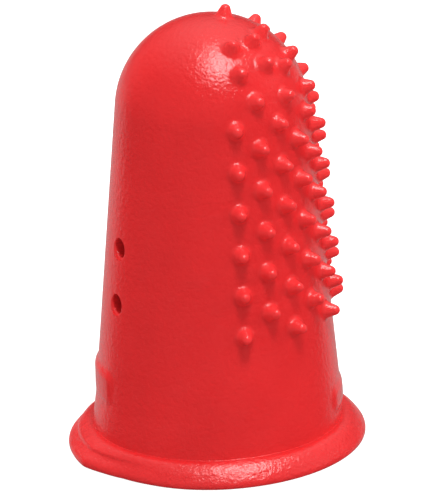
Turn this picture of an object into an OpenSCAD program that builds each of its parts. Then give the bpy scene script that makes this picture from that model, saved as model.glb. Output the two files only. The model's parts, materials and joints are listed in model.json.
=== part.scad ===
// Rubber fingertip: a tapered sleeve for the finger with a round closed tip, a flanged
// mouth, air vents on the nail side and staggered nubs on the grip side.
// It is one soft moulding, split here into its regions, which meet face to face.
// Origin: centre of the mouth's underside. +Z runs to the tip, +X is the grip side.

/* [Finger sleeve] */
// Inside diameter of the mouth
mouth_d = 16.3; // [13:0.1:20]
// Thickness of the rubber, measured across the axis
wall = 1; // [0.7:0.05:1.5]
// Height from the mouth to the top of the bare dome
total_h = 32.3; // [28:0.1:40]
// Slope of the wall, degrees
taper = 5.3; // [3:0.1:6]

/* [Mouth flange] */
// How far the rim stands out beyond the foot of the wall
flange_overhang = 1.55; // [1.45:0.05:1.8]
// Thickness of the flange where its lip begins
flange_t = 1.45; // [1.3:0.05:1.6]
// Radius of the crown over the flange's sloping top
flange_crown = 3.5; // [2.5:0.1:6]
// Radius of the fillet between wall and flange
flange_fillet = 0.2; // [0.1:0.05:0.65]
// Width of the lip round the flange
lip_w = 0.9; // [0.7:0.05:1]
// Height of the upright edge below the crown of the lip
rim_edge_h = 0.4; // [0.2:0.05:0.7]
// Height of the collar, and of the straight land inside the mouth
collar_h = 2.6; // [2.45:0.05:4]

/* [Air vents] */
// Diameter of a vent
vent_d = 1.4; // [0.8:0.1:2.2]
// Height of the lower vents above the mouth
vent_low_z = 11.9; // [9:0.1:14]
// Height from the lower vents to the upper ones
vent_row_step = 4.2; // [3:0.1:6]
// Turn of each vent away from the middle of the nail side, degrees
vent_turn = 20; // [12:1:40]

/* [Nubs on the wall] */
// Diameter of a nub where it meets the rubber, also on the tip
nub_base_d = 1.2; // [0.95:0.05:1.4]
// Diameter of a nub's round end, also on the tip
nub_tip_d = 0.9; // [0.5:0.05:1.1]
// Height that a nub stands out of the wall
nub_h = 1.1; // [0.8:0.05:1.5]
// Height of the lowest nubs above the mouth
field_base = 10.65; // [9:0.05:14]
// Height between the nubs of one column
row_pitch = 3; // [2.4:0.1:4]
// Turn from one column to the next, degrees
column_step = 14.2; // [12:0.1:15.5]

/* [Nubs on the tip] */
// Height that a nub stands out of the dome, also of the nubs right below it
tip_nub_h = 0.9; // [0.7:0.05:1.5]
// Low ring: angle down from the top of the dome, degrees
low_ring = 74.5; // [72:0.5:76]
// Middle ring: angle down from the top of the dome, degrees
middle_ring = 53.5; // [52:0.5:55]
// High ring: angle down from the top of the dome, degrees
high_ring = 36; // [34:0.5:37]
// Nub on top: angle down from the top of the dome, degrees
top_nub_angle = 8.5; // [0:0.5:12]

/* [Label pads] */
// Width of the blank pad on the nail side
nail_pad_w = 6; // [4:0.1:8]
// Height of the blank pad on the nail side
nail_pad_h = 2.2; // [1.6:0.1:4]
// Bare wall between the collar and the nail side pad
nail_pad_gap = 1.5; // [0.2:0.05:2.5]
// Height that the nail side pad stands out of the wall at its upper edge
nail_pad_top = 0.25; // [0.1:0.05:0.5]
// Height that the nail side pad stands out of the wall at its lower edge
nail_pad_foot = 0.05; // [0.05:0.05:0.5]
// Width of the blank pad on the grip side
grip_pad_w = 9.2; // [6:0.1:11]
// Height of the blank pad on the grip side
grip_pad_h = 1.6; // [1.6:0.1:4]
// Bare wall between the collar and the grip side pad
grip_pad_gap = 0.2; // [0.2:0.05:1.5]
// Height that the grip side pad stands out of the wall
grip_pad_proud = 0.15; // [0.1:0.05:0.5]
// Corner radius of a pad
pad_corner = 0.6; // [0.2:0.05:0.75]

/* [Hidden] */
$fn = 96;
rubber_red = [0.84, 0.17, 0.18];

// Columns of nubs run this far to each side of the one in the middle of the grip side
side_columns = 6;
// Depth that a nub starts below the surface, before that surface cuts it
nub_root = 0.15;
// Nubs of each ring on the tip: how far one sits below its ring and its turn round the axis from
// the middle of the grip side, degrees
low_places = [[-2.5, -71], [-2, -48], [0, -20], [-1, 12], [0, 43], [0, 71]];
middle_places = [[1.5, -78], [-2, -55], [3, -38], [-0.5, -19], [2, 25], [0, 40], [0, 60], [0, 78]];
high_places = [[1.5, -78], [-0.5, -53], [-3, -30], [7, 40]];
// Turn of the nub on top of the dome, degrees
top_nub_turn = -15;

// Rim and collar
slope = tan(taper);
mouth_r = mouth_d / 2;

// Radius of the wall's outside at height z
function wall_r(z) = mouth_r + wall - slope * (z - collar_h);

// The crown is an arc through the inner and the outer edge of the lip
lip_r = wall_r(0) + flange_overhang - lip_w;
lip_chord = [lip_w, rim_edge_h - flange_t];
lip_normal = [-lip_chord.y, lip_chord.x] / norm(lip_chord);
crown_drop = sqrt(pow(flange_crown, 2) - pow(norm(lip_chord) / 2, 2));
crown_centre = [lip_r, flange_t] + lip_chord / 2 - crown_drop * lip_normal;

// The fillet touches the wall and the crown, so its centre solves a quadratic equation
fillet_span = flange_crown + flange_fillet;
fillet_out = wall_r(0) + flange_fillet / cos(taper) - crown_centre.x;
fillet_p = slope * fillet_out + crown_centre.y;
fillet_q = pow(fillet_out, 2) + pow(crown_centre.y, 2) - pow(fillet_span, 2);
fillet_z = (fillet_p + sqrt(pow(fillet_p, 2) - fillet_q * (1 + pow(slope, 2)))) / (1 + pow(slope, 2));
fillet_centre = [wall_r(fillet_z) + flange_fillet / cos(taper), fillet_z];
fillet_top = fillet_centre - flange_fillet * [cos(taper), sin(taper)];
fillet_foot = crown_centre + (fillet_centre - crown_centre) * flange_crown / fillet_span;

// The dome is a sphere that runs on smoothly from the tapered wall
dome_r = (wall_r(0) - slope * total_h) * cos(taper) / (1 - sin(taper));
dome_z = total_h - dome_r;
dome_base_z = dome_z + dome_r * sin(taper);
hollow_r = dome_r - wall * cos(taper);

// Point of the section at a distance from the dome's centre, where the wall turns into the dome
function seam_point(distance) = [distance * cos(taper), dome_z + distance * sin(taper)];

nub_base_r = nub_base_d / 2;
nub_tip_r = nub_tip_d / 2;

COLUMNS = [for (k = [-side_columns:side_columns]) str("nub_column_", k + side_columns + 1)];

// Solid inside the wall's outer face, which cuts what sits on that face
module wall_core() {
    core_h = dome_base_z + nub_base_d;
    cylinder(h = core_h, r1 = wall_r(0), r2 = wall_r(core_h));
}

module vents() {
    for (side = [-1, 1], row = [0, 1])
        rotate([0, 0, 180 + side * vent_turn])
            translate([0, 0, vent_low_z + row * vent_row_step])
                rotate([0, 90, 0])
                    cylinder(d = vent_d, h = wall_r(0));
}

module sleeve() {
    color(rubber_red)
        difference() {
            rotate_extrude()
                polygon([
                    [mouth_r, collar_h],
                    [mouth_r + wall, collar_h],
                    seam_point(dome_r),
                    seam_point(hollow_r)
                ]);
            vents();
        }
}

module tip_dome() {
    reach = 2 * dome_r;
    color(rubber_red)
        translate([0, 0, dome_z])
            rotate_extrude()
                difference() {
                    intersection() {
                        circle(r = dome_r);
                        polygon([
                            [0, 0],
                            [reach * cos(taper), reach * sin(taper)],
                            [reach, reach],
                            [0, reach]
                        ]);
                    }
                    circle(r = hollow_r);
                }
}

// Section of all that lies under the flange's crown
module crown_disc() {
    translate(crown_centre)
        circle(r = flange_crown);
}

module mouth_collar() {
    color(rubber_red)
        rotate_extrude() {
            difference() {
                polygon([
                    [mouth_r, 0],
                    fillet_foot,
                    fillet_top,
                    [mouth_r + wall, collar_h],
                    [mouth_r, collar_h]
                ]);
                translate(fillet_centre)
                    circle(r = flange_fillet);
            }
            intersection() {
                crown_disc();
                polygon([
                    [mouth_r, 0],
                    [lip_r, 0],
                    [lip_r, collar_h],
                    fillet_centre,
                    fillet_foot
                ]);
            }
        }
}

module rim_lip() {
    color(rubber_red)
        rotate_extrude()
            intersection() {
                crown_disc();
                translate([lip_r, 0])
                    square([lip_w, collar_h]);
            }
}

// One nub of height h, standing on the origin along +Z: its tapered flank runs on smoothly into
// its round end
module nub(h) {
    cap_z = h - nub_tip_r;
    lean = acos(nub_tip_r / norm([nub_base_r, cap_z])) - atan2(cap_z, nub_base_r);
    shoulder = [nub_tip_r * cos(lean), cap_z + nub_tip_r * sin(lean)];
    rotate_extrude() {
        polygon([
            [0, -nub_root],
            [nub_base_r, -nub_root],
            [nub_base_r, 0],
            shoulder,
            [0, shoulder.y]
        ]);
        intersection() {
            translate([0, cap_z])
                circle(r = nub_tip_r);
            translate([0, shoulder.y])
                square(nub_tip_r);
        }
    }
}

// A column of nubs up the wall, k steps round from the middle of the grip side
module nub_column(k) {
    lowest = field_base + (abs(k) % 2) * row_pitch / 2;
    color(rubber_red)
        difference() {
            for (z = [lowest:row_pitch:dome_base_z])
                rotate([0, 0, k * column_step])
                    translate([wall_r(z), 0, z])
                        rotate([0, 90 - taper, 0])
                            nub(z > dome_base_z - row_pitch / 2 ? tip_nub_h : nub_h);
            wall_core();
        }
}

// Nubs on the dome at the places of a ring, which runs at this angle down from the top
module tip_nubs(ring, places) {
    color(rubber_red)
        translate([0, 0, dome_z])
            for (place = places)
                rotate([0, ring + place[0], place[1]])
                    difference() {
                        translate([0, 0, dome_r])
                            nub(tip_nub_h);
                        sphere(r = dome_r);
                    }
}

module low_tip_nubs() {
    tip_nubs(low_ring, low_places);
}

module middle_tip_nubs() {
    tip_nubs(middle_ring, middle_places);
}

module high_tip_nubs() {
    tip_nubs(high_ring, high_places);
}

module top_tip_nub() {
    tip_nubs(top_nub_angle, [[0, top_nub_turn]]);
}

// Face of a label pad, with round corners
module pad_face(w, h) {
    corner = [w / 2 - pad_corner, h / 2 - pad_corner];
    square([w, 2 * corner.y], center = true);
    square([2 * corner.x, h], center = true);
    for (sx = [-1, 1], sy = [-1, 1])
        translate([sx * corner.x, sy * corner.y])
            circle(r = pad_corner);
}

// A blank raised pad on the wall, turned round the axis, with its lower edge at height z. It stands
// out of the wall by foot at that edge and by top at the upper one
module label_pad(turn, w, h, z, foot, top) {
    color(rubber_red)
        rotate([0, 0, turn])
            difference() {
                intersection() {
                    translate([0, 0, z + h / 2])
                        rotate([90, 0, 90])
                            linear_extrude(height = 2 * wall_r(0))
                                pad_face(w, h);
                    translate([0, 0, z])
                        cylinder(h = h, r1 = wall_r(z) + foot, r2 = wall_r(z + h) + top);
                }
                wall_core();
            }
}

module nail_side_label_pad() {
    label_pad(180, nail_pad_w, nail_pad_h, collar_h + nail_pad_gap, nail_pad_foot, nail_pad_top);
}

module grip_side_label_pad() {
    label_pad(0, grip_pad_w, grip_pad_h, collar_h + grip_pad_gap, grip_pad_proud, grip_pad_proud);
}

sleeve();
tip_dome();
mouth_collar();
rim_lip();
nail_side_label_pad();
grip_side_label_pad();
for (k = [-side_columns:side_columns])
    nub_column(k);
low_tip_nubs();
middle_tip_nubs();
high_tip_nubs();
top_tip_nub();
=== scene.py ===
# %% [markdown]
# # A red rubber fingertip
# Someone who leafs through paper all day pulls this over a finger. It is one soft moulding: a
# tapered sleeve with a round closed tip, a flange at the mouth, four air vents on the nail side
# and a field of small nubs on the grip side. The construction model gives the main sizes and the
# place of every piece. This script loads that model as a fixed frame and dresses it, region by
# region, as soft rubber.

# %% Load the frame
import json
import math

import bmesh
import bpy
import numpy as np
from mathutils import Matrix, Vector


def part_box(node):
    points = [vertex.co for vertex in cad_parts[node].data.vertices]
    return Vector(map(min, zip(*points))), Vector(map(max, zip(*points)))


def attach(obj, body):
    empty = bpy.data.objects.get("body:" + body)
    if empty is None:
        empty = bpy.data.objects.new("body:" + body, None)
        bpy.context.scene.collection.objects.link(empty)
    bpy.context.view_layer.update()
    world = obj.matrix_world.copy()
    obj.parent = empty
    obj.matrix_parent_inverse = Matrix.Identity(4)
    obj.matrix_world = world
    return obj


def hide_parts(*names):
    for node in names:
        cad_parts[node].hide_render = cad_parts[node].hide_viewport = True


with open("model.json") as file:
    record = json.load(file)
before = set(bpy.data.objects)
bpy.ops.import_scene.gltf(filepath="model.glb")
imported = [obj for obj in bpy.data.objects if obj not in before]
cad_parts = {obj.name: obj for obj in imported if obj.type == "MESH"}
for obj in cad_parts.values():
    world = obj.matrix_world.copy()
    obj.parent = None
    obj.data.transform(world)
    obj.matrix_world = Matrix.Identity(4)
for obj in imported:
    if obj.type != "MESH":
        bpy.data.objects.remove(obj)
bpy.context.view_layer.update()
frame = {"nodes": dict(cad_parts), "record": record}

# %% [markdown]
# The sleeve is a cone and the tip is a sphere that runs on from it, so a few numbers describe the
# whole outside. They could be typed in again, but then the two models could drift apart. Here
# they are read from the boxes of the frame's nodes and from the mouth's mount, and the rest
# follows from them.

# %% Sizes from the frame
MM = 0.001
# Lengths below this count as nothing.
TINY = 1e-9

foot_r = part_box("sleeve")[1].x
land_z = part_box("sleeve")[0].z
seam_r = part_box("tip_dome")[1].x
seam_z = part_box("sleeve")[1].z
top_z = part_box("tip_dome")[1].z
collar_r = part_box("mouth_collar")[1].x
rim_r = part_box("rim_lip")[1].x
flange_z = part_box("rim_lip")[1].z
mounts = {mount["name"]: mount for mount in frame["record"]["mounts"]}
mouth_r = mounts["finger_mouth"]["dims"]["r_mm"] * MM

slope = (foot_r - seam_r) / (seam_z - land_z)
taper = math.atan(slope)
dome_r = seam_r / math.cos(taper)
dome_z = top_z - dome_r
wall = foot_r - mouth_r
hollow_r = dome_r - wall * math.cos(taper)
print("taper", round(math.degrees(taper), 2), "degrees, dome radius", round(dome_r / MM, 3), "mm")

# %% [markdown]
# What sits on the rubber, such as a nub or a raised pad, has to follow the curved outside with no
# gap. One function answers how far a point is above that outside and which way is out. Every
# such piece is modelled flat or upright first, and then seated with it.

# %% Outside of the wall and the dome
seating_passes = 3


def wall_r(z):
    """Radius of the wall's outside at a height."""
    return foot_r - slope * (z - land_z)


def outside(points):
    """Height of each point above the rubber's outside, and the direction that leads off it."""
    around = np.hypot(points[:, 0], points[:, 1])
    spoke = points[:, :2] / np.maximum(around, TINY)[:, None]
    on_wall = np.column_stack([spoke * math.cos(taper), np.full(len(points), math.sin(taper))])
    above_wall = (around - wall_r(points[:, 2])) * math.cos(taper)
    from_centre = points - np.array([0, 0, dome_z])
    reach = np.linalg.norm(from_centre, axis=1)
    on_dome = from_centre / np.maximum(reach, TINY)[:, None]
    domed = from_centre[:, 2] > math.tan(taper) * around
    above = np.where(domed, reach - dome_r, above_wall)
    away = np.where(domed[:, None], on_dome, on_wall)
    return above, away


def seated(points, rise):
    """The points, shifted until each is as far above the outside as its rise says."""
    for _ in range(seating_passes):
        above, away = outside(points)
        points = points + away * (rise - above)[:, None]
    return points


# %% [markdown]
# Rubber is soft and trimmed by hand. The sleeve leans a little towards the grip side on its flat
# flange, and the rim has one stretch that was cut straight and ends in a blunt corner. Shaping
# each piece on its own would open the seams between them, so one function of place shapes them
# all, and each finished mesh goes through it once.

# %% Lean of the soft sleeve and trim of the rim
lean = math.radians(1.0)
lean_pivot_z = -5 * MM
lean_range_z = (1 * MM, 4 * MM)
trim_turns = np.radians([-205, -188, -172, -160, -150, -140, -128, -113, -100])
trim_reach = np.array([0, 0.14, 0.26, 0.42, 0.04, -0.22, -0.20, -0.06, 0]) * MM
trim_fade = 0.5 * MM


def eased(value, low, high):
    """0 below low, 1 above high and a smooth rise between them."""
    t = np.clip((value - low) / (high - low), 0, 1)
    return t * t * (3 - 2 * t)


def turn_of(points):
    """Angle of each point about the axis, from -360 degrees to 0, in radians."""
    turn = np.arctan2(points[:, 1], points[:, 0])
    return np.where(turn > 0, turn - 2 * math.pi, turn)


def trimmed(points):
    """The points after the rim has been trimmed by hand."""
    around = np.hypot(points[:, 0], points[:, 1])
    reach = np.interp(turn_of(points), trim_turns, trim_reach, left=0, right=0)
    towards_rim = eased(around, wall_r(0), rim_r)
    on_flange = 1 - eased(points[:, 2], flange_z, flange_z + trim_fade)
    out = reach * towards_rim * on_flange
    moved = points.copy()
    moved[:, :2] *= (1 + out / np.maximum(around, TINY))[:, None]
    return moved


def shaped(points):
    """The points after the trim, and after the sleeve has leaned over on its flange."""
    points = trimmed(points)
    angle = lean * eased(points[:, 2], *lean_range_z)
    x = points[:, 0]
    z = points[:, 2] - lean_pivot_z
    moved = points.copy()
    moved[:, 0] = x * np.cos(angle) + z * np.sin(angle)
    moved[:, 2] = lean_pivot_z + z * np.cos(angle) - x * np.sin(angle)
    return moved


def mesh_points(mesh):
    """A mesh's points as rows of x, y and z."""
    flat = np.empty(3 * len(mesh.vertices))
    mesh.vertices.foreach_get("co", flat)
    return flat.reshape(-1, 3)


def set_mesh_points(mesh, points):
    """Moves a mesh's points to the given rows."""
    mesh.vertices.foreach_set("co", points.ravel())
    mesh.update()


trim_ends = [round(reach / MM, 2) for reach in (trim_reach.min(), trim_reach.max())]
print("lean", round(math.degrees(lean), 1), "degrees, trim of the rim in mm", trim_ends)

# %% [markdown]
# ## One way to add nodes
# Materials and Geometry Nodes are both graphs. Built node by node they fill pages, so a small
# class wraps a socket: arithmetic on it adds Math nodes. One method adds any other node from
# its type, its settings and the values or links of its sockets.

# %% Sockets as numbers


class Wire:
    """An output socket that can be used in arithmetic."""

    def __init__(self, graph, socket):
        self.graph = graph
        self.socket = socket

    def out(self, name):
        """Another output of the same node."""
        return Wire(self.graph, self.socket.node.outputs[name])

    def maths(self, operation, first, second):
        """A Math node on two sockets or numbers."""
        return self.graph.add("ShaderNodeMath", {"operation": operation}, {0: first, 1: second})

    def __add__(self, other):
        return self.maths("ADD", self, other)

    def __radd__(self, other):
        return self.maths("ADD", other, self)

    def __sub__(self, other):
        return self.maths("SUBTRACT", self, other)

    def __rsub__(self, other):
        return self.maths("SUBTRACT", other, self)

    def __mul__(self, other):
        return self.maths("MULTIPLY", self, other)

    def __rmul__(self, other):
        return self.maths("MULTIPLY", other, self)


class Graph:
    """A node tree that is filled from Python."""

    def __init__(self, tree):
        self.tree = tree

    def add(self, kind, settings=None, sockets=None, out=0):
        """Adds a node: settings first, then values or links for its sockets. Returns one of its
        outputs, if it has any."""
        node = self.tree.nodes.new(kind)
        for name, value in (settings or {}).items():
            setattr(node, name, value)
        for name, value in (sockets or {}).items():
            if isinstance(value, Wire):
                self.tree.links.new(value.socket, node.inputs[name])
            else:
                node.inputs[name].default_value = value
        if node.outputs:
            return Wire(self, node.outputs[out])


# %% [markdown]
# Three nodes come back again and again: a noise with lumps of a given size, a smooth passage from
# 0 to 1, and a mix of two colours. A Math node would turn a colour grey, so colours go through Mix.

# %% Noise, passage and mix


def noise(graph, place, size, detail=2.0, roughness=0.5):
    """Smooth noise from 0 to 1, with lumps of about the given size."""
    sockets = {"Vector": place, "Scale": 1 / size, "Detail": detail, "Roughness": roughness}
    return graph.add("ShaderNodeTexNoise", {}, sockets)


def passage(graph, value, start, end, shape="SMOOTHSTEP"):
    """0 where the value is at the start or before it, and 1 at the end or past it."""
    sockets = {"Value": value, "From Min": start, "From Max": end}
    return graph.add("ShaderNodeMapRange", {"interpolation_type": shape}, sockets)


def mixed(graph, share, first, second):
    """One colour that passes into another as the share goes from 0 to 1."""
    sockets = {0: share, 6: first, 7: second}
    return graph.add("ShaderNodeMix", {"data_type": "RGBA"}, sockets, out=2)


# %% [markdown]
# ## Red rubber
# The whole object is one pigmented rubber. A flat red would look like plastic foil: real rubber
# has slow clouds of pigment, a mould skin that is silky in some places and duller in others, a
# fine pebble that breaks up highlights, and a few specks of dust moulded in. All of these are
# noise at different sizes on Object coordinates, so they stay put from any side. The flange is
# also wrinkled, which spreads its highlight. The nubs have painted light: a paler red above their
# feet stands in for the light that falls on their heads and shines through the thin rubber, and it
# lightens the shade on their flanks. Each of their points keeps its height in an attribute, and
# the colour follows that.

# %% Sizes and colours of the finish
pigment_cloud = 5 * MM
cloud_contrast = 1.6
skin_patch = 1.6 * MM
pebble = 0.32 * MM
speck_spacing = 2.4 * MM
# The edge of a speck, as shares of the spacing.
speck_edge = (0.06, 0.02)
# Painted light: between these two heights the nubs pass into a paler red on their heads and flanks.
painted_light_rise = (0.005 * MM, 0.25 * MM)
wrinkle = 0.5 * MM
wrinkle_turn = (0, math.radians(-15), 0)
wrinkle_stretch = (2.4, 1, 1)
wrinkle_fade_z = (2.0 * MM, 1.2 * MM)

DEEP_RED = (0.66, 0.018, 0.020, 1)
CLEAR_RED = (0.76, 0.022, 0.024, 1)
# A paler red for the nubs, painted light: it stands in for the light on their heads and through thin
# rubber.
PAINTED_LIGHT_RED = (0.82, 0.033, 0.035, 1)

# How much each pattern adds to the bump and to the roughness.
relief = {"pebble": 4, "patches": 1.2, "specks": 0.6, "wrinkles": 5}
relief_depth = 0.03 * MM
relief_strength = 0.5
dullness = {"skin": 0.11, "patches": 0.08, "pebble": 0.06, "flange": 0.06}
refraction = 1.5
reflection = 0.65

# %% Red rubber finish


def red_rubber():
    """The finish of every piece."""
    material = bpy.data.materials.new("red_rubber_finish")
    material.use_nodes = True
    material.node_tree.nodes.clear()
    graph = Graph(material.node_tree)
    place = graph.add("ShaderNodeTexCoord", out="Object")

    clouds = noise(graph, place, pigment_cloud, detail=3.0)
    patches = noise(graph, place, skin_patch)
    grain = noise(graph, place, pebble, detail=3.0, roughness=0.6)
    nearest = graph.add("ShaderNodeTexVoronoi", {}, {"Vector": place, "Scale": 1 / speck_spacing})
    specks = passage(graph, nearest, *speck_edge)

    strong_clouds = clouds * cloud_contrast + (1 - cloud_contrast) / 2
    cloudy = mixed(graph, strong_clouds, DEEP_RED, CLEAR_RED)
    rise = graph.add("ShaderNodeAttribute", {"attribute_name": "rise"}, out="Fac")
    # Painted light: the nubs pass into the paler red as they rise from the rubber.
    colour = mixed(graph, passage(graph, rise, *painted_light_rise), cloudy, PAINTED_LIGHT_RED)

    height = graph.add("ShaderNodeSeparateXYZ", {}, {0: place}, out="Z")
    on_flange = passage(graph, height, *wrinkle_fade_z)
    drawn_out = graph.add(
        "ShaderNodeMapping",
        {"vector_type": "TEXTURE"},
        {"Vector": place, "Rotation": wrinkle_turn, "Scale": wrinkle_stretch},
    )
    wrinkles = noise(graph, drawn_out, wrinkle, roughness=0.6)

    mould_skin = relief["pebble"] * grain + relief["patches"] * patches + relief["specks"] * specks
    skin_height = mould_skin + relief["wrinkles"] * wrinkles * on_flange
    bump = graph.add(
        "ShaderNodeBump",
        {},
        {"Strength": relief_strength, "Distance": relief_depth, "Height": skin_height},
    )
    dull_skin = dullness["skin"] + dullness["patches"] * patches + dullness["pebble"] * grain
    shader = graph.add(
        "ShaderNodeBsdfPrincipled",
        {},
        {
            "Base Color": colour,
            "Roughness": dull_skin + dullness["flange"] * on_flange,
            "IOR": refraction,
            "Specular IOR Level": reflection,
            "Normal": bump,
        },
    )
    graph.add("ShaderNodeOutputMaterial", {}, {"Surface": shader})
    return material


rubber = red_rubber()
print("finish:", rubber.name, "with", len(rubber.node_tree.nodes), "nodes")

# %% [markdown]
# ## Turned regions
# The sleeve, the tip, the collar and the lip are all bodies of revolution, as the core and the
# cavity of their mould are turned on a lathe. Blender has a Spin tool and a Screw modifier for
# this. Here the rings are laid out directly, because then every region has the same number of
# steps round the axis and their seams fall exactly on each other.

# %% Lathe helpers
STEPS_ROUND = 256


def arc(centre, radius, start, end, steps):
    """Points of a section on an arc, from one angle to another in degrees."""
    angles = np.radians(np.linspace(start, end, steps + 1))
    return [(centre[0] + radius * math.cos(a), centre[1] + radius * math.sin(a)) for a in angles]


def line(start, end, steps):
    """Points of a section on a straight stretch."""
    return [tuple(point) for point in np.linspace(start, end, steps + 1)]


def closed_mesh(name, work):
    """A smooth mesh from closed faces, which are turned to look outwards."""
    bmesh.ops.recalc_face_normals(work, faces=work.faces)
    mesh = bpy.data.meshes.new(name)
    work.to_mesh(mesh)
    work.free()
    mesh.shade_smooth()
    return mesh


def turned_mesh(name, section, steps=STEPS_ROUND):
    """A closed mesh from a closed section of (radius, height) points, turned about Z."""
    pairs = zip(section, section[1:] + section[:1])
    outline = [point for point, following in pairs if math.dist(point, following) > TINY]
    angles = [2 * math.pi * k / steps for k in range(steps)]
    work = bmesh.new()
    rings = []
    for radius, height in outline:
        if radius < TINY:
            rings.append([work.verts.new((0, 0, height))] * steps)
            continue
        ring = [(radius * math.cos(a), radius * math.sin(a), height) for a in angles]
        rings.append([work.verts.new(point) for point in ring])
    for ring, following in zip(rings, rings[1:] + rings[:1]):
        for k in range(steps):
            j = (k + 1) % steps
            corners = list(dict.fromkeys([ring[k], ring[j], following[j], following[k]]))
            if len(corners) > 2:
                work.faces.new(corners)
    return closed_mesh(name, work)


# %% [markdown]
# Every finished piece is treated alike: it goes through the trim and the lean, takes the rubber,
# keeps its hard edges and is noted with the node of the frame that it stands for.

# %% Finish a piece
hard_edge = math.radians(40)
pieces = []


def finished(name, mesh, node):
    """Makes the piece that stands for a node of the frame."""
    set_mesh_points(mesh, shaped(mesh_points(mesh)))
    mesh.set_sharp_from_angle(angle=hard_edge)
    mesh.materials.clear()
    mesh.materials.append(rubber)
    piece = bpy.data.objects.new(name, mesh)
    bpy.context.scene.collection.objects.link(piece)
    pieces.append((piece, node))
    print(name, "has", len(mesh.polygons), "faces")


# %% [markdown]
# The tip is the closed end that the finger pushes against. It could be half a UV sphere, but it
# is a shell with an inside, and its rim leans with the taper. Its first steps are very short, so
# that its shading starts in exactly the direction in which the sleeve's ends.

# %% Tip
dome_centre = (0, dome_z)
tilt = math.degrees(taper)
tip_fine_turn = 1
fine_end = tilt + tip_fine_turn
tip_section = (
    arc(dome_centre, dome_r, tilt, fine_end, steps=4)
    + arc(dome_centre, dome_r, fine_end, 90, steps=60)
    + arc(dome_centre, hollow_r, 90, fine_end, steps=40)
    + arc(dome_centre, hollow_r, fine_end, tilt, steps=4)
)
finished("rubber_tip", turned_mesh("rubber_tip", tip_section), "tip_dome")

# %% [markdown]
# The collar is the thick end of the wall: a flange that stiffens the mouth. Its top is a soft
# shoulder that drops to the wall and meets it in a tiny fillet. Round the collar runs the lip,
# where the moulding was trimmed. The lip's top slopes and is slightly crowned, which spreads the
# light into one broad patch. The edges are rounded, also inside, so that none cuts into the finger.

# %% Crown, shoulder and fillet
crown_r = 3.5 * MM
shoulder_r = 0.95 * MM
fillet_r = 0.04 * MM
rim_edge_z = 0.4 * MM
rim_round_r = 0.5 * MM
under_round_r = 0.22 * MM
mouth_round_r = 0.4 * MM


def heading(start, end):
    """Direction from one point of a section to another, in degrees."""
    return math.degrees(math.atan2(end[1] - start[1], end[0] - start[0]))


lip_in = np.array([collar_r, flange_z])
chord = np.array([rim_r, rim_edge_z]) - lip_in
chord_length = math.hypot(*chord)
crown_drop = math.sqrt(crown_r**2 - (chord_length / 2) ** 2)
crown_centre = lip_in + chord / 2 - crown_drop * np.array([-chord[1], chord[0]]) / chord_length
lip_turn = heading(crown_centre, lip_in)

shoulder_centre = lip_in + (crown_centre - lip_in) * shoulder_r / crown_r
shoulder_z = shoulder_centre[1]
print("crown centre", np.round(crown_centre / MM, 3), "mm")

# %% [markdown]
# The fillet touches the wall and the shoulder, so its centre is on a line beside the wall and at a
# known distance from the shoulder's centre. That gives a quadratic equation for its height, and
# the higher answer is the one above the shoulder. The rim's round touches the crown from inside.

# %% Centres of the small rounds
beside_wall = fillet_r / math.cos(taper)
gap = wall_r(0) + beside_wall - shoulder_centre[0]
centre_distance = shoulder_r + fillet_r
equation = [
    1 + slope**2,
    -2 * (slope * gap + shoulder_z),
    gap**2 + shoulder_z**2 - centre_distance**2,
]
fillet_z = np.roots(equation).max()
fillet_centre = np.array([wall_r(fillet_z) + beside_wall, fillet_z])
foot_turn = heading(shoulder_centre, fillet_centre)

round_r = rim_r - rim_round_r
round_drop = math.sqrt((crown_r - rim_round_r) ** 2 - (round_r - crown_centre[0]) ** 2)
round_centre = (round_r, crown_centre[1] + round_drop)
round_turn = heading(crown_centre, round_centre)
print("fillet centre", np.round(fillet_centre / MM, 3), "mm")

# %% [markdown]
# Where the rim was trimmed, the lip has sunk a little below the collar, and a shallow step runs
# along its inner edge. It fades out at both ends.

# %% Step in the lip
step_depth = 0.14 * MM
step_turns = np.radians([-250, -215, -153, -122])
step_drop = (3, 8)
step_rise = (9, 21)
crown_skin = 0.04 * MM


def stepped(points):
    """The lip's points with the step, which is laid out in degrees about the crown's centre."""
    around = np.hypot(points[:, 0], points[:, 1])
    from_centre = np.column_stack([around, points[:, 2]]) - crown_centre
    distance = np.linalg.norm(from_centre, axis=1)
    below = lip_turn - np.degrees(np.arctan2(from_centre[:, 1], from_centre[:, 0]))
    across = eased(below, *step_drop) * (1 - eased(below, *step_rise))
    turn = turn_of(points)
    along = eased(turn, *step_turns[:2]) * (1 - eased(turn, *step_turns[2:]))
    depth = np.where(distance > crown_r - crown_skin, step_depth * across * along, 0)
    inward = from_centre * (-depth / distance)[:, None]
    moved = points.copy()
    moved[:, :2] *= (1 + inward[:, 0] / around)[:, None]
    moved[:, 2] += inward[:, 1]
    return moved


print("step", round(step_depth / MM, 2), "mm deep")

# %% [markdown]
# With all centres known, each section is a chain of straight stretches and arcs. Both arcs have
# one very short piece beside the seam of the collar and the lip, so that the shading runs on.

# %% Collar
collar_fine_turn = 0.5
collar_seam = lip_turn + collar_fine_turn
collar_section = (
    line((mouth_r, land_z), (mouth_r, mouth_round_r), steps=6)
    + arc((mouth_r + mouth_round_r, mouth_round_r), mouth_round_r, 180, 270, steps=8)
    + line((mouth_r + mouth_round_r, 0), (collar_r, 0), steps=6)
    + line((collar_r, 0), (collar_r, flange_z), steps=4)
    + arc(shoulder_centre, shoulder_r, lip_turn, collar_seam, steps=1)
    + arc(shoulder_centre, shoulder_r, collar_seam, foot_turn, steps=12)
    + arc(fillet_centre, fillet_r, 180 + foot_turn, 180 + tilt, steps=16)
    + line((wall_r(fillet_z), fillet_z), (foot_r, land_z), steps=3)
)
finished("rubber_collar", turned_mesh("rubber_collar", collar_section), "mouth_collar")

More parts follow.
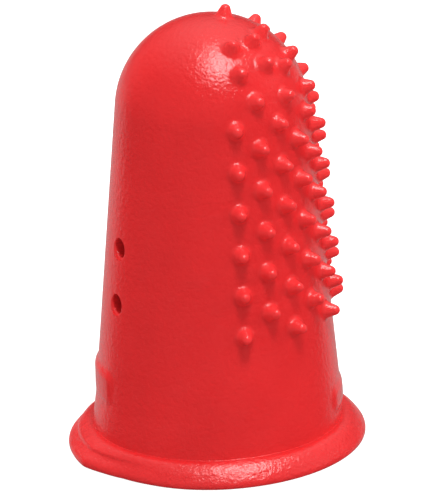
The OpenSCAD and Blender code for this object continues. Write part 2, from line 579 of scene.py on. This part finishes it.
# %% Lip
lip_fine_turn = 0.2
lip_seam = lip_turn - lip_fine_turn
lip_section = (
    line((collar_r, 0), (rim_r - under_round_r, 0), steps=4)
    + arc((rim_r - under_round_r, under_round_r), under_round_r, -90, 0, steps=6)
    + arc(round_centre, rim_round_r, 0, round_turn, steps=6)
    + arc(crown_centre, crown_r, round_turn, lip_seam, steps=40)
    + arc(crown_centre, crown_r, lip_seam, lip_turn, steps=1)
    + line((collar_r, flange_z), (collar_r, 0), steps=4)
)
lip_mesh = turned_mesh("rubber_lip", lip_section)
set_mesh_points(lip_mesh, stepped(mesh_points(lip_mesh)))
finished("rubber_lip", lip_mesh, "rim_lip")

# %% [markdown]
# ## Trees that make meshes
# Vents and nubs repeat, so a Geometry Nodes tree makes each kind. Both trees start with named
# inputs for their sizes and end in real faces with a finish. An input is set by its identifier,
# not its name, before the tree is first evaluated, and the result becomes a plain mesh.

# %% Start, end and use of a tree


def start_tree(name, kinds, result):
    """A Geometry Nodes tree with named inputs and one output. Returns its graph, and its inputs'
    sockets and identifiers by name."""
    graph = Graph(bpy.data.node_groups.new(name, "GeometryNodeTree"))
    interface = graph.tree.interface
    identifiers = {}
    for label, kind in kinds.items():
        socket = interface.new_socket(label, in_out="INPUT", socket_type="NodeSocket" + kind)
        identifiers[label] = socket.identifier
    interface.new_socket(result, in_out="OUTPUT", socket_type="NodeSocketGeometry")
    given = graph.add("NodeGroupInput")
    return graph, {label: given.out(label) for label in kinds}, identifiers


def end_tree(graph, geometry, finish, result):
    """Ends a tree in real faces with their finish, because the export drops instances."""
    whole = graph.add("GeometryNodeRealizeInstances", {}, {"Geometry": geometry})
    dressed = graph.add("GeometryNodeSetMaterial", {}, {"Geometry": whole, "Material": finish})
    graph.add("NodeGroupOutput", {}, {result: dressed})


def grown(mesh, tree, identifiers, values):
    """The plain mesh that a tree makes from a mesh, with its named inputs set first."""
    start = bpy.data.objects.new("start", mesh)
    bpy.context.scene.collection.objects.link(start)
    modifier = start.modifiers.new("tree", "NODES")
    modifier.node_group = tree
    for name, value in values.items():
        modifier[identifiers[name]] = value
    evaluated = start.evaluated_get(bpy.context.evaluated_depsgraph_get())
    result = bpy.data.meshes.new_from_object(evaluated)
    start.modifiers.remove(modifier)
    bpy.data.objects.remove(start)
    return result


# %% [markdown]
# The sleeve is the wall round the finger. Four vents on the nail side let sweat and air out. They
# could be drilled with four Boolean modifiers. A Geometry Nodes tree does it in one step: it
# works out the places from a few sizes, puts a cutter on each, and takes them all away from the
# wall at once. The cutter is flared at both ends, because the mouths of moulded holes are soft.

# %% Vent cutter
vent_r = 0.7 * MM
vent_edge_r = 0.2 * MM
flare_r = vent_r + vent_edge_r
cutter_spare = 0.6 * MM

cutter_section = (
    [(0, -wall - cutter_spare), (flare_r, -wall - cutter_spare)]
    + arc((flare_r, vent_edge_r - wall), vent_edge_r, 270, 180, steps=8)
    + arc((flare_r, -vent_edge_r), vent_edge_r, 180, 90, steps=8)
    + [(flare_r, cutter_spare), (0, cutter_spare)]
)
cutter_mesh = turned_mesh("vent_cutter", cutter_section, steps=48)
cutter_mesh.transform(Matrix.Rotation(math.pi / 2, 4, "Y"))
vent_cutter = bpy.data.objects.new("vent_cutter", cutter_mesh)
print("vent cutter has", len(cutter_mesh.polygons), "faces")

# %% Vent tree


def vent_tree():
    """Takes vents out of a wall. Returns the tree and its inputs' identifiers by name."""
    kinds = {
        "Wall": "Geometry",
        "Cutter": "Object",
        "Low height": "Float",
        "Row step": "Float",
        "Turn": "Float",
        "Foot radius": "Float",
        "Foot height": "Float",
        "Slope": "Float",
        "Rubber": "Material",
    }
    graph, given, identifiers = start_tree("air_vents", kinds, "Wall")

    low = graph.add("ShaderNodeCombineXYZ", {}, {"Z": given["Low height"]})
    step = graph.add("ShaderNodeCombineXYZ", {}, {"Z": given["Row step"]})
    line_sockets = {"Count": 2, "Start Location": low, "Offset": step}
    rows = graph.add("GeometryNodeMeshLine", {}, line_sockets)
    pair_sockets = {"Geometry": rows, "Amount": 2}
    pairs = graph.add("GeometryNodeDuplicateElements", {"domain": "POINT"}, pair_sockets)
    side = pairs.out("Duplicate Index") * 2 - 1
    angle = math.pi + side * given["Turn"]

    position = graph.add("GeometryNodeInputPosition")
    height = graph.add("ShaderNodeSeparateXYZ", {}, {0: position}, out="Z")
    reach = given["Foot radius"] - given["Slope"] * (height - given["Foot height"])
    cosine = graph.add("ShaderNodeMath", {"operation": "COSINE"}, {0: angle})
    sine = graph.add("ShaderNodeMath", {"operation": "SINE"}, {0: angle})
    spot_sockets = {"X": reach * cosine, "Y": reach * sine, "Z": height}
    spot = graph.add("ShaderNodeCombineXYZ", {}, spot_sockets)
    facing = graph.add("ShaderNodeCombineXYZ", {}, {"Z": angle})
    faced = graph.add(
        "GeometryNodeStoreNamedAttribute",
        {"data_type": "FLOAT_VECTOR", "domain": "POINT"},
        {"Geometry": pairs, "Name": "facing", "Value": facing},
    )
    placed = graph.add("GeometryNodeSetPosition", {}, {"Geometry": faced, "Position": spot})

    turned_to = graph.add(
        "GeometryNodeInputNamedAttribute", {"data_type": "FLOAT_VECTOR"}, {"Name": "facing"}
    )
    shape = graph.add("GeometryNodeObjectInfo", {}, {"Object": given["Cutter"]}, out="Geometry")
    cutters = graph.add(
        "GeometryNodeInstanceOnPoints",
        {},
        {"Points": placed, "Instance": shape, "Rotation": turned_to},
    )
    solid_cutters = graph.add("GeometryNodeRealizeInstances", {}, {"Geometry": cutters})
    drilled = graph.add(
        "GeometryNodeMeshBoolean",
        {"operation": "DIFFERENCE", "solver": "EXACT"},
        {"Mesh 1": given["Wall"], "Mesh 2": solid_cutters},
        out="Mesh",
    )
    end_tree(graph, drilled, given["Rubber"], "Wall")
    return graph.tree, identifiers


# %% Sleeve with vents
inner_seam = (hollow_r * math.cos(taper), dome_z + hollow_r * math.sin(taper))
sleeve_section = (
    line((foot_r, land_z), (seam_r, seam_z), steps=72)
    + line(inner_seam, (mouth_r, land_z), steps=48)
)
vent_values = {
    "Cutter": vent_cutter,
    "Low height": 11.9 * MM,
    "Row step": 4.2 * MM,
    "Turn": math.radians(20),
    "Foot radius": foot_r,
    "Foot height": land_z,
    "Slope": slope,
    "Rubber": rubber,
}
plain_sleeve = turned_mesh("rubber_sleeve", sleeve_section)
tree, identifiers = vent_tree()
sleeve_mesh = grown(plain_sleeve, tree, identifiers, vent_values)
bpy.data.objects.remove(vent_cutter)
finished("rubber_sleeve", sleeve_mesh, "sleeve")

# %% [markdown]
# Low on the nail side and on the grip side the moulding has a plain raised pad with soft edges. A
# cube with a bevel wouldn't follow the wall, so each pad is a fine grid whose height comes from
# the distance to a rectangle with round corners, and the grid is seated on the wall.

# %% Height of a pad
pad_corner = 0.6 * MM
pad_edge = 0.4 * MM
pad_cell = 0.07 * MM
pad_sink = 0.1 * MM
skirt_rise = 0.003 * MM


def past_rectangle(across, up, half):
    """Distance of each spot from a rectangle with round corners, below 0 inside it."""
    corner = np.abs(np.stack([across, up], -1)) - (half - pad_corner)
    beyond = np.linalg.norm(np.maximum(corner, 0), axis=-1)
    return beyond + np.minimum(corner.max(-1), 0) - pad_corner


# %% Grid of a pad


def grid_faces(shape):
    """Faces of a closed slab: a grid of points, its underside with as many points, and its sides."""
    count = shape[0] * shape[1]
    index = np.arange(count).reshape(shape)
    cells = [index[:-1, :-1], index[:-1, 1:], index[1:, 1:], index[1:, :-1]]
    top = np.stack(cells, -1).reshape(-1, 4)
    under = top[:, ::-1] + count
    edge = np.concatenate([index[0, :], index[1:, -1], index[-1, -2::-1], index[-2:0:-1, 0]])
    ahead = np.roll(edge, -1)
    sides = np.stack([edge, edge + count, ahead + count, ahead], -1)
    return np.vstack([top, under, sides]).tolist()


def pad_mesh(name, node, facing, foot_and_top):
    """A blank pad on one side of the wall, as wide and as high as its node. It stands out of the
    wall by one height at its foot and by another at its top."""
    low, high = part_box(node)
    half = np.array([high.y - low.y, high.z - low.z]) / 2
    spare = half + pad_edge
    cells = np.ceil(2 * spare / pad_cell).astype(int)
    across, up = np.meshgrid(*[np.linspace(-s, s, c + 1) for s, c in zip(spare, cells)])
    proud = np.interp(up, (-half[1], half[1]), foot_and_top)
    share = eased(-past_rectangle(across, up, half), -pad_edge, pad_edge)
    rise = skirt_rise + (proud - skirt_rise) * share

    height = (low.z + high.z) / 2 + up
    reach = wall_r(height)
    turn = np.arcsin(across / reach)
    spots = np.stack([facing * reach * np.cos(turn), reach * np.sin(turn), height], -1)
    spots = spots.reshape(-1, 3)
    skin = seated(spots, rise.ravel())
    root = seated(spots, np.full(rise.size, -pad_sink))

    work = bmesh.new()
    vertices = [work.verts.new(point) for point in np.vstack([skin, root]).tolist()]
    for corners in grid_faces(rise.shape):
        work.faces.new([vertices[k] for k in corners])
    return closed_mesh(name, work)


# %% Blank pads
nail_pad_rise = (0.05 * MM, 0.25 * MM)
grip_pad_rise = (0.15 * MM, 0.15 * MM)
nail_pad = pad_mesh("blank_nail_pad", "nail_side_label_pad", -1, nail_pad_rise)
grip_pad = pad_mesh("blank_grip_pad", "grip_side_label_pad", 1, grip_pad_rise)
finished("blank_nail_pad", nail_pad, "nail_side_label_pad")
finished("blank_grip_pad", grip_pad, "grip_side_label_pad")

# %% [markdown]
# ## Nubs
# The nubs grip the paper. They stand in staggered columns up the wall and in rings on the tip,
# about ninety of them, all from one shape. Copies by hand would be slow and hard to change, so a
# Geometry Nodes tree puts one turned nub on each place, points it away from the rubber, and
# tilts each one a little differently, because soft nubs don't stand quite straight. The places
# come from the frame: each loose solid of a nub node shows where a nub stands.

# %% Pattern nub
nub_base_r = 0.66 * MM
nub_tip_r = 0.38 * MM
nub_h = 1.1 * MM
nub_fillet_r = 0.4 * MM
nub_sink = 0.1 * MM
nub_lean = math.radians(4)


def pattern_nub():
    """One upright nub. Each point keeps its height in an attribute, for the seating."""
    cap_z = nub_h - nub_tip_r
    flank = math.acos(nub_tip_r / math.hypot(nub_base_r, cap_z)) - math.atan2(cap_z, nub_base_r)
    flank_turn = math.degrees(flank)
    skirt_r = nub_base_r + nub_fillet_r * math.tan(math.pi / 4 - flank / 2)
    fillet_middle = (skirt_r, nub_fillet_r + skirt_rise)
    section = (
        [(0, -nub_sink), (skirt_r, -nub_sink)]
        + arc(fillet_middle, nub_fillet_r, 270, 180 + flank_turn, steps=6)
        + arc((0, cap_z), nub_tip_r, flank_turn, 90, steps=8)
    )
    mesh = turned_mesh("nub", section, steps=28)
    rise = mesh.attributes.new("rise", "FLOAT", "POINT")
    rise.data.foreach_set("value", mesh_points(mesh)[:, 2])
    print("one nub has", len(mesh.polygons), "faces, and is", round(2 * skirt_r / MM, 2), "mm wide")
    return bpy.data.objects.new("nub", mesh)


nub = pattern_nub()

# %% Places of the nubs
merge_distance = 1e-7


def loose_solids(node):
    """The points of each loose solid in a node of the frame."""
    work = bmesh.new()
    work.from_mesh(frame["nodes"][node].data)
    bmesh.ops.remove_doubles(work, verts=work.verts, dist=merge_distance)
    waiting = set(work.verts)
    solids = []
    while waiting:
        front = [waiting.pop()]
        solid = []
        while front:
            vertex = front.pop()
            solid.append(tuple(vertex.co))
            near = {edge.other_vert(vertex) for edge in vertex.link_edges} & waiting
            waiting -= near
            front.extend(near)
        solids.append(np.array(solid))
    work.free()
    return solids


def nub_places(node):
    """A mesh of one point at the foot of each nub, with the direction in which the nub stands and
    its height as a share of the pattern's."""
    feet = []
    axes = []
    shares = []
    for solid in loose_solids(node):
        above, away = outside(solid)
        tip = np.argmax(above)
        feet.append(solid[tip] - away[tip] * above[tip])
        axes.append(away[tip])
        shares.append(above[tip] / nub_h)
    feet = np.array(feet)
    order = np.lexsort((feet[:, 1], feet[:, 2]))
    mesh = bpy.data.meshes.new("nub_places")
    mesh.from_pydata(feet[order].tolist(), [], [])
    axis = mesh.attributes.new("axis", "FLOAT_VECTOR", "POINT")
    axis.data.foreach_set("vector", np.array(axes)[order].ravel())
    share = mesh.attributes.new("share", "FLOAT", "POINT")
    share.data.foreach_set("value", np.array(shares)[order])
    return mesh


# %% Nub tree


def nub_tree():
    """Puts a nub on each point. Returns the tree and its inputs' identifiers by name."""
    kinds = {
        "Places": "Geometry",
        "Nub": "Object",
        "Lean": "Float",
        "Seed": "Int",
        "Rubber": "Material",
    }
    graph, given, identifiers = start_tree("nub_field", kinds, "Nubs")

    axis = graph.add(
        "GeometryNodeInputNamedAttribute", {"data_type": "FLOAT_VECTOR"}, {"Name": "axis"}
    )
    upright = graph.add("FunctionNodeAlignRotationToVector", {"axis": "Z"}, {"Vector": axis})
    spread = graph.add(
        "FunctionNodeRandomValue",
        {"data_type": "FLOAT_VECTOR"},
        {0: (-1, -1, 0), 1: (1, 1, 0), "Seed": given["Seed"]},
    )
    bent = graph.add(
        "ShaderNodeVectorMath", {"operation": "SCALE"}, {0: spread, "Scale": given["Lean"]}
    )
    stance = graph.add(
        "FunctionNodeRotateRotation",
        {"rotation_space": "LOCAL"},
        {"Rotation": upright, "Rotate By": bent},
    )
    shape = graph.add("GeometryNodeObjectInfo", {}, {"Object": given["Nub"]}, out="Geometry")
    share = graph.add("GeometryNodeInputNamedAttribute", {"data_type": "FLOAT"}, {"Name": "share"})
    tall = graph.add("ShaderNodeCombineXYZ", {}, {"X": 1, "Y": 1, "Z": share})
    nubs = graph.add(
        "GeometryNodeInstanceOnPoints",
        {},
        {"Points": given["Places"], "Instance": shape, "Rotation": stance, "Scale": tall},
    )
    end_tree(graph, nubs, given["Rubber"], "Nubs")
    return graph.tree, identifiers


# %% [markdown]
# The foot of a nub is flat, and its edge would stand off the curved rubber. So when the tree has
# placed the nubs, each point is seated at the height that it has on the pattern, scaled to the
# height of the nub that the frame shows there. The skirt at the foot stays as thin as it is.

# %% Columns and rings of nubs


def point_values(mesh, name):
    """The values of one of a mesh's point attributes."""
    values = np.empty(len(mesh.vertices))
    mesh.attributes[name].data.foreach_get("value", values)
    return values


tree, identifiers = nub_tree()
nub_nodes = sorted(name for name in frame["nodes"] if "nub" in name)
for seed, node in enumerate(nub_nodes):
    values = {"Nub": nub, "Lean": nub_lean, "Seed": seed, "Rubber": rubber}
    mesh = grown(nub_places(node), tree, identifiers, values)
    rise = point_values(mesh, "rise")
    above_skirt = np.maximum(rise - skirt_rise, 0)
    height = rise + above_skirt * (point_values(mesh, "share") - 1)
    set_mesh_points(mesh, seated(mesh_points(mesh), height))
    finished("soft_" + node, mesh, node)
bpy.data.objects.remove(nub)

# %% [markdown]
# ## Into the frame
# Each piece is hung on a body, and the node that it stands for is hidden. The object has no
# joints, so there is one body.

# %% Tie the pieces to the frame
for piece, node in pieces:
    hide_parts(node)
    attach(piece, "root")
print(len(pieces), "pieces stand for", len(frame["nodes"]), "nodes")

# %% [markdown]
# ## Camera
# The camera is far away with a long lens, as in a catalogue: the mouth shows as a flat ellipse and
# the sides hardly converge. It looks down a little from in front of the nubs' left edge, and it is
# turned a little about its own axis.

# %% Camera
camera_from = Vector((-41.509, -280.432, 114.003)) * MM
camera_aim = Vector((0.464, -0.441, 14.788)) * MM
camera_roll = math.radians(2.426)

camera_data = bpy.data.cameras.new("camera")
camera_data.sensor_width = 36
camera_data.lens = 298.95
camera_data.clip_start = 0.01
camera_data.clip_end = 10
camera = bpy.data.objects.new("camera", camera_data)
bpy.context.scene.collection.objects.link(camera)
sight = (camera_aim - camera_from).to_track_quat("-Z", "Y").to_matrix().to_4x4()
roll = Matrix.Rotation(-camera_roll, 4, "Z")
camera.matrix_world = Matrix.Translation(camera_from) @ sight @ roll
bpy.context.scene.camera = camera
print("camera", round((camera_aim - camera_from).length / MM), "mm away")

# %% [markdown]
# ## Light
# A window with two panes gives the tip its double highlight and the flange its bright patch. It is
# seen only in reflections. A small key lamp in front and above sets a shade under each nub, and
# two wide lamps light the sides, the left one from behind. These three aren't seen in reflections.
# One large window could do all of this, but then the shades under the nubs would be too soft.

# %% Window and lamps
lamp_distance = 0.7
window_towards = Vector((0.155, -0.325, 0.93))
window_across = Vector((0.989, -0.146, 0.0))
pane_height = 0.47
# A pane has a shift to the right, a width and a power.
panes = {"left_pane": (-0.110, 0.11, 1.45), "right_pane": (0.070, 0.16, 2.2)}
# A lamp has a direction in which it stands, a size and a power.
lamps = {
    "key": (Vector((0.08, -0.41, 0.91)), 0.16, 3.0),
    "right_fill": (Vector((0.95, -0.10, 0.30)), 0.40, 1.4),
    "left_fill": (Vector((-0.51, 0.83, 0.16)), 0.40, 4.6),
}


def soft_lamp(name, towards, shift, size, power):
    """A soft lamp that looks at the middle of the object, shifted to one side in its own plane."""
    lamp = bpy.data.lights.new(name, "AREA")
    lamp.shape = "RECTANGLE"
    lamp.size, lamp.size_y = size
    lamp.energy = power
    holder = bpy.data.objects.new(name, lamp)
    bpy.context.scene.collection.objects.link(holder)
    back = towards.normalized()
    up = back.cross(window_across).normalized()
    right = up.cross(back)
    turn = Matrix((right, up, back)).transposed().to_4x4()
    middle = Vector((0, 0, top_z / 2)) + back * lamp_distance + right * shift
    holder.matrix_world = Matrix.Translation(middle) @ turn
    print(name, power, "W")
    return holder


for name, (shift, width, power) in panes.items():
    pane = soft_lamp(name, window_towards, shift, (width, pane_height), power)
    pane.visible_diffuse = False
for name, (direction, size, power) in lamps.items():
    lamp = soft_lamp(name, direction, 0, (size, size), power)
    lamp.visible_glossy = False

# %% [markdown]
# The room is white for the camera, as the page of a catalogue is. It also gives a soft light from
# all sides, which is dimmer overhead, so that the key lamp's shades stay clear. In reflections only
# the ceiling and the floor behind the object are bright, because a room that is white all round
# would lay a grey veil over the red.

# %% Room
room_level = 0.83
ceiling_dimming = 0.4
ceiling_towards = Vector((0.14, 0.29, 0.95))
ceiling_level = 0.9
sweep_towards = Vector((0.146, 0.989, 0.0))
sweep_level = 0.42
shade_level = 0.04
# Ranges of how far a ray points in a direction, where 1 is straight that way.
dim_range = (0.2, 1.0)
ceiling_range = (0.36, 1.0)
sweep_range = (0.46, 0.70)
floor_range = (0.02, -0.06)


def pointing(graph, direction):
    """How far a ray of the world points in a direction, from -1 to 1."""
    ray = graph.add("ShaderNodeTexCoord", out="Generated")
    vectors = {0: ray, 1: direction}
    return graph.add("ShaderNodeVectorMath", {"operation": "DOT_PRODUCT"}, vectors, out="Value")


world = bpy.data.worlds.new("white_room")
world.use_nodes = True
world.node_tree.nodes.clear()
graph = Graph(world.node_tree)
upwards = pointing(graph, ceiling_towards)
dimmed = ceiling_dimming * passage(graph, upwards, *dim_range, "LINEAR")
ceiling = passage(graph, upwards, *ceiling_range, "LINEAR")
low_down = passage(graph, pointing(graph, Vector((0, 0, 1))), *floor_range)
sweep = passage(graph, pointing(graph, sweep_towards), *sweep_range) * low_down
reflected = shade_level + ceiling_level * ceiling * ceiling + sweep_level * sweep

seen = graph.add("ShaderNodeLightPath", out="Is Camera Ray")
through = seen.out("Is Transmission Ray")
mirrored = seen.out("Is Glossy Ray")
direct = graph.add("ShaderNodeMath", {"operation": "MAXIMUM"}, {0: seen, 1: through})
soft = room_level * (1 - dimmed)
plain = soft + direct * (1 - soft)
level = plain + mirrored * (reflected - plain)
white = graph.add("ShaderNodeBackground", {}, {"Color": (1, 1, 1, 1), "Strength": level})
graph.add("ShaderNodeOutputWorld", {}, {"Surface": white})
bpy.context.scene.world = world
print("room:", len(world.node_tree.nodes), "nodes")

# %% [markdown]
# The pale floor keeps the object's shadow. For the camera it also glows, so that it runs into the
# white of the room with no horizon.

# %% Floor
floor_half = 3.0
floor_z = -0.02 * MM
floor_glow = 0.88
FLOOR_GREY = (0.5, 0.5, 0.5, 1)

floor_mesh = bpy.data.meshes.new("pale_floor")
corners = [(-1, -1), (1, -1), (1, 1), (-1, 1)]
spots = [(floor_half * x, floor_half * y, floor_z) for x, y in corners]
floor_mesh.from_pydata(spots, [], [(0, 1, 2, 3)])
floor_finish = bpy.data.materials.new("pale_floor_finish")
floor_finish.use_nodes = True
floor_finish.node_tree.nodes.clear()
graph = Graph(floor_finish.node_tree)
paint = graph.add("ShaderNodeBsdfDiffuse", {}, {"Color": FLOOR_GREY})
seen = graph.add("ShaderNodeLightPath", out="Is Camera Ray")
glow = graph.add("ShaderNodeEmission", {}, {"Strength": floor_glow * seen})
both = graph.add("ShaderNodeAddShader", {}, {0: paint, 1: glow})
graph.add("ShaderNodeOutputMaterial", {}, {"Surface": both})
floor_mesh.materials.append(floor_finish)
floor = bpy.data.objects.new("pale_floor", floor_mesh)
bpy.context.scene.collection.objects.link(floor)
floor.visible_glossy = False
print("floor", 2 * floor_half, "m wide")

# %% [markdown]
# The colours are shown as they are written, with no film look over them.

# %% Plain colours
bpy.context.scene.view_settings.view_transform = "Standard"
print("view transform:", bpy.context.scene.view_settings.view_transform)
